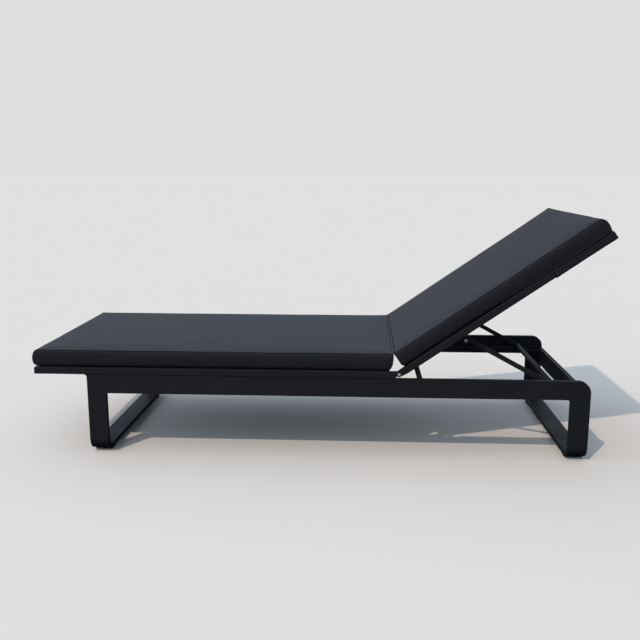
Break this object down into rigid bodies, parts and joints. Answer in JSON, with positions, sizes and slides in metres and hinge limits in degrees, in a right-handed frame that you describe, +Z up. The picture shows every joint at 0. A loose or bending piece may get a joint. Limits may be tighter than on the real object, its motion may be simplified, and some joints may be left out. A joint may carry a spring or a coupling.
{
  "type": "reclining sun lounger",
  "caption": "Low sun lounger with a flat-tube frame on skid legs, a slatted deck, thick seat and back cushions, and a back that props up on a rack.",
  "frame": {"origin": "on the floor under the middle of the bounding box", "axes": "+X towards the head end along the lounger, +Y towards the right side of a person lying on it, +Z up"},
  "size_m": [1.8692, 0.705, 0.7854],
  "materials": {
    "powder_coat": "matt black powder coat with a fine texture, on aluminium tube and flat bar",
    "fabric": "charcoal woven outdoor fabric over foam",
    "rubber": "matt black rubber",
    "stainless": "satin stainless steel"
  },
  "bodies": {
    "frame": {"foot_pad_foot_left": "rubber", "foot_pad_foot_right": "rubber", "foot_pad_head_left": "rubber", "foot_pad_head_right": "rubber", "head_cross_bar": "powder_coat", "hinge_lug_left": "powder_coat", "hinge_lug_right": "powder_coat", "hinge_pin_left": "stainless", "hinge_pin_right": "stainless", "leg_foot_left": "powder_coat", "leg_foot_right": "powder_coat", "leg_head_left": "powder_coat", "leg_head_right": "powder_coat", "prop_rack_left": "powder_coat", "prop_rack_right": "powder_coat", "prop_track_left": "powder_coat", "prop_track_right": "powder_coat", "rack_screw_left_1": "powder_coat", "rack_screw_left_2": "powder_coat", "rack_screw_right_1": "powder_coat", "rack_screw_right_2": "powder_coat", "seat_cushion": "fabric", "seat_end_member_first": "powder_coat", "seat_end_member_last": "powder_coat", "seat_side_member_left": "powder_coat", "seat_side_member_right": "powder_coat", "seat_slat_1": "powder_coat", "seat_slat_2": "powder_coat", "seat_slat_3": "powder_coat", "seat_slat_4": "powder_coat", "seat_slat_5": "powder_coat", "seat_slat_6": "powder_coat", "seat_slat_7": "powder_coat", "side_rail_left": "powder_coat", "side_rail_right": "powder_coat", "skid_bar_foot": "powder_coat", "skid_bar_head": "powder_coat"},
    "back": {"back_cushion": "fabric", "back_end_member_first": "powder_coat", "back_end_member_last": "powder_coat", "back_side_member_left": "powder_coat", "back_side_member_right": "powder_coat", "back_slat_1": "powder_coat", "back_slat_2": "powder_coat", "back_slat_3": "powder_coat", "back_slat_4": "powder_coat", "back_slat_5": "powder_coat", "guide_arm_left": "powder_coat", "guide_arm_right": "powder_coat", "head_pocket": "fabric", "hinge_fork_left": "powder_coat", "hinge_fork_right": "powder_coat", "prop_bolt_left": "stainless", "prop_bolt_right": "stainless", "prop_tab_left": "powder_coat", "prop_tab_right": "powder_coat"},
    "prop": {"prop_arm_left": "powder_coat", "prop_arm_right": "powder_coat", "prop_tube": "powder_coat"}
  },
  "joints": [
    {"name": "back_recline", "type": "hinge", "parent": "frame", "child": "back", "pos_m": [0.27143, 0, 0.2855], "axis": [0, -1, 0], "range_deg": [-34.8, 30]},
    {"name": "prop_swing", "type": "hinge", "parent": "back", "child": "prop", "pos_m": [0.48779, 0, 0.38911], "axis": [0, -1, 0], "range_deg": [-51.5, 59.5]}
  ],
  "couplings": [
    {"joint": "prop_swing", "follows": "back_recline", "ratio": -1.7}
  ]
}
